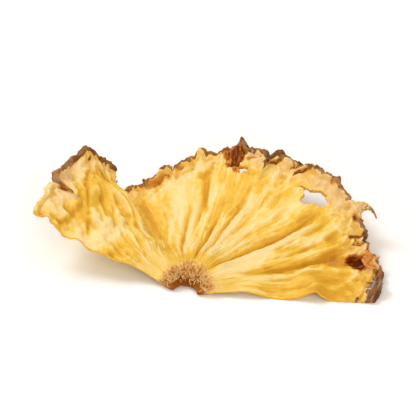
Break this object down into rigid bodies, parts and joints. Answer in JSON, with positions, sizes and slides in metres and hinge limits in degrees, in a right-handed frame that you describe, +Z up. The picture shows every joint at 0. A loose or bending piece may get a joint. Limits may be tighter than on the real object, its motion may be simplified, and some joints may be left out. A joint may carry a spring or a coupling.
{
  "type": "dried pineapple half ring",
  "caption": "Half of a dried pineapple slice: a thin pleated fan of flesh round a notched core, with one end folded up as a wing, a hole near the edge and a scalloped strip of peel.",
  "frame": {"origin": "middle of the slice's footprint, on the surface that it lies on", "axes": "+Z up; +X along the slice, from its raised wing towards the end that lies flat; +Y from the cut edge towards the peel"},
  "size_m": [0.0894, 0.0514, 0.0196],
  "materials": {
    "dried_pineapple": "satin"
  },
  "bodies": {
    "root": {"pineapple_half_ring": "dried_pineapple"}
  },
  "joints": []
}
